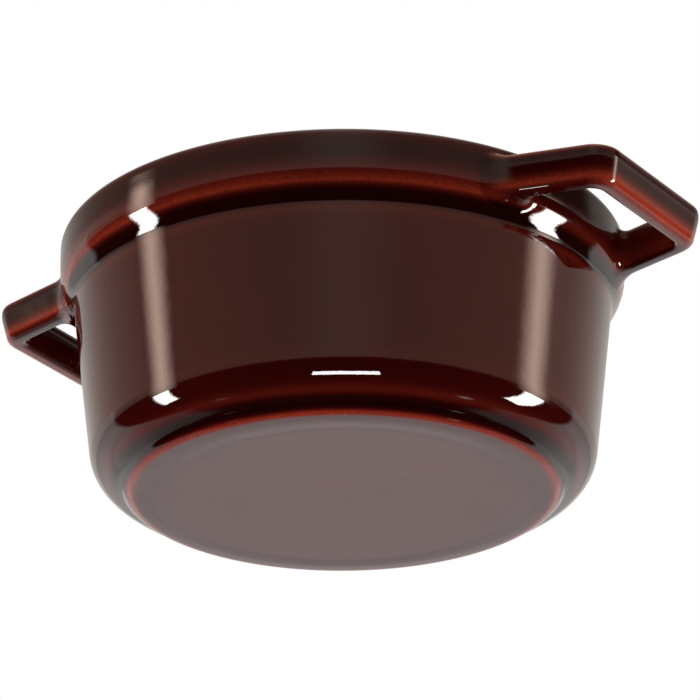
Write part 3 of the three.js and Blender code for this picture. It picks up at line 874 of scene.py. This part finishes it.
# %% Floor
FLOOR_SIZE = 3.0
FLOOR_DROP = 0.0003
FLOOR_COLOUR = (0.88, 0.88, 0.87, 1)
floor_mesh = bpy.data.meshes.new("floor")
edge = FLOOR_SIZE / 2
floor_corners = [(-edge, -edge, 0), (edge, -edge, 0), (edge, edge, 0), (-edge, edge, 0)]
floor_mesh.from_pydata(floor_corners, [], [(0, 1, 2, 3)])
floor = bpy.data.objects.new("floor", floor_mesh)
floor.location.z = -FLOOR_DROP
bpy.context.collection.objects.link(floor)

pale_floor, tree, output = new_material("pale_floor")
path = add(tree, "ShaderNodeLightPath").outputs["Is Camera Ray"]
behind = add(tree, "ShaderNodeNewGeometry").outputs["Backfacing"]
shown = calculate(tree, "MULTIPLY", path, calculate(tree, "SUBTRACT", 1.0, behind))
plain = add(tree, "ShaderNodeBsdfDiffuse", {"Color": FLOOR_COLOUR})
clear = add(tree, "ShaderNodeBsdfTransparent")
mixed = add(tree, "ShaderNodeMixShader", {0: shown, 1: clear.outputs["BSDF"], 2: plain.outputs["BSDF"]})
tree.links.new(mixed.outputs["Shader"], output.inputs["Surface"])
floor_mesh.materials.append(pale_floor)
print("floor", FLOOR_SIZE, "m square")

# %% [markdown]
# ## Studio
# Black glass shows the room more than itself, so the room matters. Area lamps would do, but a room laid out
# by direction can be soft at one edge and sharp at the next: a white wall behind the pot, a grey upper half
# with a dark flag at the right, a dark lower half in front, a tall strip light at each side and small lamps
# low down. Reflections see that room. Plain surfaces get soft light instead, fuller from the sides.

# %% Studio directions
CAMERA_AZIMUTH = np.radians(32.42)
world = bpy.data.worlds.new("studio")
bpy.context.scene.world = world
world.use_nodes = True
tree = world.node_tree
tree.nodes.clear()
way = add(tree, "ShaderNodeTexCoord").outputs["Generated"]
turned_way = add(tree, "ShaderNodeVectorRotate", {"Vector": way, "Angle": -CAMERA_AZIMUTH},
                 rotation_type="Z_AXIS").outputs[0]
east, north, high = add(tree, "ShaderNodeSeparateXYZ", {0: turned_way}).outputs
south = calculate(tree, "MULTIPLY", north, -1.0)
azimuth = calculate(tree, "DEGREES", calculate(tree, "ARCTAN2", east, south))
elevation = calculate(tree, "DEGREES", calculate(tree, "ARCSINE", high))
aside = calculate(tree, "ABSOLUTE", azimuth)
print("directions in degrees from the camera's side and above level")


# %% Studio helpers
def times(first, *others):
    """Product of two or more values."""
    for other in others:
        first = calculate(tree, "MULTIPLY", first, other)
    return first


def plus(first, *others):
    """Sum of two or more values."""
    for other in others:
        first = calculate(tree, "ADD", first, other)
    return first


def window(value, low, high, soft):
    """1 between low and high, with soft edges, else 0."""
    rise = ease(tree, value, low - soft, low + soft)
    return times(rise, ease(tree, value, high - soft, high + soft, 1.0, 0.0))


BOW_ELEVATION = 30.0


def strip(middle, half_width, bottom, top, strength, soft, bow):
    """A tall light: its strength within a span of azimuths and elevations.

    `bow` bends it: its azimuth moves by that many degrees, times the square of the elevation over 30.
    """
    bend = calculate(tree, "POWER", calculate(tree, "DIVIDE", elevation, BOW_ELEVATION), 2.0)
    straight = calculate(tree, "SUBTRACT", azimuth, times(bend, bow))
    across = window(straight, middle - half_width, middle + half_width, soft)
    return times(across, window(elevation, bottom, top, soft / 2), strength)


# %% Upper half of the room
UPPER_DARK, UPPER_GREY, UPPER_FADE, OVERHEAD_LIGHT = 0.01, 0.36, 0.1, 0.3
HORIZON, FADE_SPAN, OVERHEAD_SPAN = (2.0, 6.0), (12.0, 24.0), (45.0, 75.0)
FRONT_GLOW, GLOW_SPAN, GLOW_WINDOW = 0.14, (2.0, 8.0), (-20.0, 14.0, 12.0)
FLAG_DARK, FLAG_WINDOW, FLAG_SPAN = 0.85, (88.0, 119.0, 5.0), (17.0, 20.0)
higher = ease(tree, elevation, *FADE_SPAN, 0.0, UPPER_FADE)
upper = calculate(tree, "SUBTRACT", ease(tree, elevation, *HORIZON, UPPER_DARK, UPPER_GREY), higher)
front_glow = plus(ease(tree, elevation, *GLOW_SPAN, 0.0, FRONT_GLOW), higher)
upper = plus(upper, times(front_glow, window(aside, *GLOW_WINDOW)))
flag = times(window(azimuth, *FLAG_WINDOW), ease(tree, elevation, *FLAG_SPAN, 0.0, FLAG_DARK))
upper = times(upper, calculate(tree, "SUBTRACT", 1.0, flag))
upper = plus(upper, ease(tree, elevation, *OVERHEAD_SPAN, 0.0, OVERHEAD_LIGHT))
print("upper half nodes", len(tree.nodes))

# %% Wall behind
WALL_DIM, WALL_BRIGHT, WALL_SPAN = 0.25, 1.02, (-48.0, -16.0)
WALL_DIP, DIP_START, DIP_END = 0.14, (-22.6, -21.3), (-20.5, -16.0)
WALL_SIDES, WALL_BOTTOM = (118.0, 122.0), (-56.0, -50.0)
WALL_HALF, WALL_FALL, WALL_TOP = 0.5, (-14.0, 12.0), (12.0, 20.0)
SIDE_GLOW, SIDE_GLOW_SPAN, SIDE_GLOW_WINDOW = 0.16, (78.0, 118.0), (12.5, 21.5, 1.5)
HIGH_WALL, HIGH_WALL_SPAN, HIGH_WALL_BOTTOM = 0.3, (108.0, 158.0), (-3.0, 4.0)
dip = ease(tree, elevation, *DIP_START, 1.0, 1 - WALL_DIP)
dip = plus(dip, ease(tree, elevation, *DIP_END, 0.0, WALL_DIP))
lower_wall = times(ease(tree, elevation, *WALL_SPAN, WALL_DIM, WALL_BRIGHT), dip)
lower_wall = times(lower_wall, ease(tree, aside, *WALL_SIDES), ease(tree, elevation, *WALL_BOTTOM))
lower_wall = times(lower_wall, ease(tree, elevation, *WALL_FALL, 1.0, WALL_HALF))
lower_wall = times(lower_wall, ease(tree, elevation, *WALL_TOP, 1.0, 0.0))
side_glow = times(ease(tree, aside, *SIDE_GLOW_SPAN, 0.0, SIDE_GLOW), window(elevation, *SIDE_GLOW_WINDOW))
upper_wall = plus(ease(tree, aside, *HIGH_WALL_SPAN, 0.0, HIGH_WALL), side_glow)
upper_wall = times(upper_wall, ease(tree, elevation, *HIGH_WALL_BOTTOM))
back_wall = calculate(tree, "MAXIMUM", upper_wall, lower_wall)
print("room nodes", len(tree.nodes))

# %% Strip lights
# Each light: middle, half width, bottom, top, strength, softness and bow, with angles in degrees
SHARP_STRIPS = [
    (-86.5, 4.5, -31.0, -4.0, 24.0, 1.0, -3.5),
    (92.4, 6.0, -36.0, -4.0, 24.0, 1.0, 0.0),
    (-103.0, 4.5, -62.0, -58.5, 0.5, 2.0, 0.0),
    (102.0, 5.0, -62.0, -58.5, 1.9, 2.0, 0.0),
]
SOFT_STRIPS = [
    (-84.6, 4.2, -4.0, 24.6, 6.4, 5.0, -6.0),
    (91.4, 5.0, -4.0, 19.0, 5.8, 6.5, 0.0),
    (93.0, 10.0, -4.0, 19.0, 0.3, 8.0, 0.0),
]
lamps = plus(*[strip(*light) for light in SHARP_STRIPS])
streaks = plus(*[strip(*light) for light in SOFT_STRIPS])
print("strip lights", len(SHARP_STRIPS) + len(SOFT_STRIPS))

# %% Studio world
FRONT_LIGHT, SIDE_LIGHT, BACK_LIGHT, LOW_SIDE_LIGHT = 0.34, 1.5, 0.8, 1.3
SIDE_START, BACK_START, LOW_SIDE_START, LOW_SPAN = (30.0, 80.0), (120.0, 160.0), (70.0, 105.0), (-45.0, -15.0)
WHITE, GREY_TINT, WALL_TINT = (1, 1, 1, 1), (1, 0.94, 0.8, 1), (1, 0.99, 0.98, 1)
LAMP_TINT, STREAK_TINT = (1, 0.96, 0.92, 1), (1, 0.73, 0.6, 1)
BACKGROUND_WHITE = 1.0
path = add(tree, "ShaderNodeLightPath").outputs
even = plus(ease(tree, aside, *SIDE_START, FRONT_LIGHT, SIDE_LIGHT),
            ease(tree, aside, *BACK_START, 0.0, BACK_LIGHT - SIDE_LIGHT))
low_side = ease(tree, aside, *LOW_SIDE_START, 0.0, LOW_SIDE_LIGHT)
even = plus(even, times(low_side, ease(tree, elevation, *LOW_SPAN, 1.0, 0.0)))
soft_light = add(tree, "ShaderNodeBackground", {"Color": WHITE, "Strength": even})
room = add(tree, "ShaderNodeBackground", {"Color": GREY_TINT, "Strength": upper}).outputs[0]
for strength, colour in ((back_wall, WALL_TINT), (lamps, LAMP_TINT), (streaks, STREAK_TINT)):
    layer = add(tree, "ShaderNodeBackground", {"Color": colour, "Strength": strength})
    room = add(tree, "ShaderNodeAddShader", {0: room, 1: layer.outputs[0]}).outputs[0]
white = add(tree, "ShaderNodeBackground", {"Color": WHITE, "Strength": BACKGROUND_WHITE})
lit = add(tree, "ShaderNodeMixShader", {0: path["Is Glossy Ray"], 1: soft_light.outputs[0], 2: room})
seen = add(tree, "ShaderNodeMixShader", {0: path["Is Camera Ray"], 1: lit.outputs[0], 2: white.outputs[0]})
output = add(tree, "ShaderNodeOutputWorld", {"Surface": seen.outputs[0]})
print("studio nodes", len(tree.nodes))

# %% Key lamp
KEY_SIZE, KEY_POWER = 0.7, 0.4
KEY_PLACE = (-0.25, -0.35, 0.85)
key = bpy.data.lights.new("key", "AREA")
key.shape = "DISK"
key.size = KEY_SIZE
key.energy = KEY_POWER
key_lamp = bpy.data.objects.new("key_lamp", key)
key_lamp.location = KEY_PLACE
key_lamp.rotation_euler = (-key_lamp.location).to_track_quat("-Z", "Y").to_euler()
key_lamp.visible_glossy = False
bpy.context.collection.objects.link(key_lamp)
print("key lamp", KEY_POWER, "W")

# %% Front strip lamp
STRIP_SIZE = (0.026, 0.0058)
STRIP_BRIGHTNESS = 24.0
STRIP_AIM = Vector((0.0013, -0.0465, 0.005))
STRIP_DROP = np.radians(41.5)
STRIP_DISTANCE = 0.03
strip_light = bpy.data.lights.new("front_strip", "AREA")
strip_light.shape = "RECTANGLE"
strip_light.size, strip_light.size_y = STRIP_SIZE
strip_light.energy = np.pi * STRIP_BRIGHTNESS * STRIP_SIZE[0] * STRIP_SIZE[1]
away = Vector((0, -np.cos(STRIP_DROP), -np.sin(STRIP_DROP)))
facing = away.to_track_quat("Z", "Y").to_matrix().to_4x4()
strip_lamp = bpy.data.objects.new("front_strip_lamp", strip_light)
strip_lamp.matrix_world = Matrix.Rotation(CAMERA_AZIMUTH, 4, "Z") @ Matrix.Translation(
    STRIP_AIM + STRIP_DISTANCE * away) @ facing
strip_lamp.visible_camera = False
strip_lamp.visible_diffuse = False
bpy.context.collection.objects.link(strip_lamp)
print("front strip lamp", round(strip_light.energy, 4), "W")

# %% [markdown]
# ## Camera
# The camera looks up at the pot from below the floor's level, along the photograph's line of sight.

# %% Camera
ELEVATION = np.radians(-23.44)
ROLL = np.radians(-0.34)
DISTANCE = 0.896
AIM_HEIGHT = 0.0253
AIM_OFFSET = (-0.0013, -0.0041)
FOCAL_PIXELS = 4746
PICTURE_PIXELS = 700
SENSOR = 36.0
forward = np.array([0, np.cos(ELEVATION), -np.sin(ELEVATION)])
level_right = np.array([1.0, 0, 0])
level_up = np.cross(level_right, forward)
right_way = np.cos(ROLL) * level_right + np.sin(ROLL) * level_up
up_way = np.cos(ROLL) * level_up - np.sin(ROLL) * level_right
aim = np.array([0, 0, AIM_HEIGHT]) - AIM_OFFSET[0] * right_way - AIM_OFFSET[1] * up_way
place = aim - DISTANCE * forward
axes = Matrix(np.stack([right_way, up_way, -forward], axis=1).tolist()).to_4x4()
camera_data = bpy.data.cameras.new("camera")
camera_data.sensor_width = SENSOR
camera_data.lens = SENSOR * FOCAL_PIXELS / PICTURE_PIXELS
camera = bpy.data.objects.new("camera", camera_data)
camera.matrix_world = Matrix.Rotation(CAMERA_AZIMUTH, 4, "Z") @ Matrix.Translation(Vector(place)) @ axes
bpy.context.collection.objects.link(camera)
bpy.context.scene.camera = camera
bpy.context.scene.view_settings.view_transform = "Standard"
camera_place = [round(v, 4) for v in camera.matrix_world.translation]
print("camera at", camera_place, "lens", round(camera_data.lens, 1))
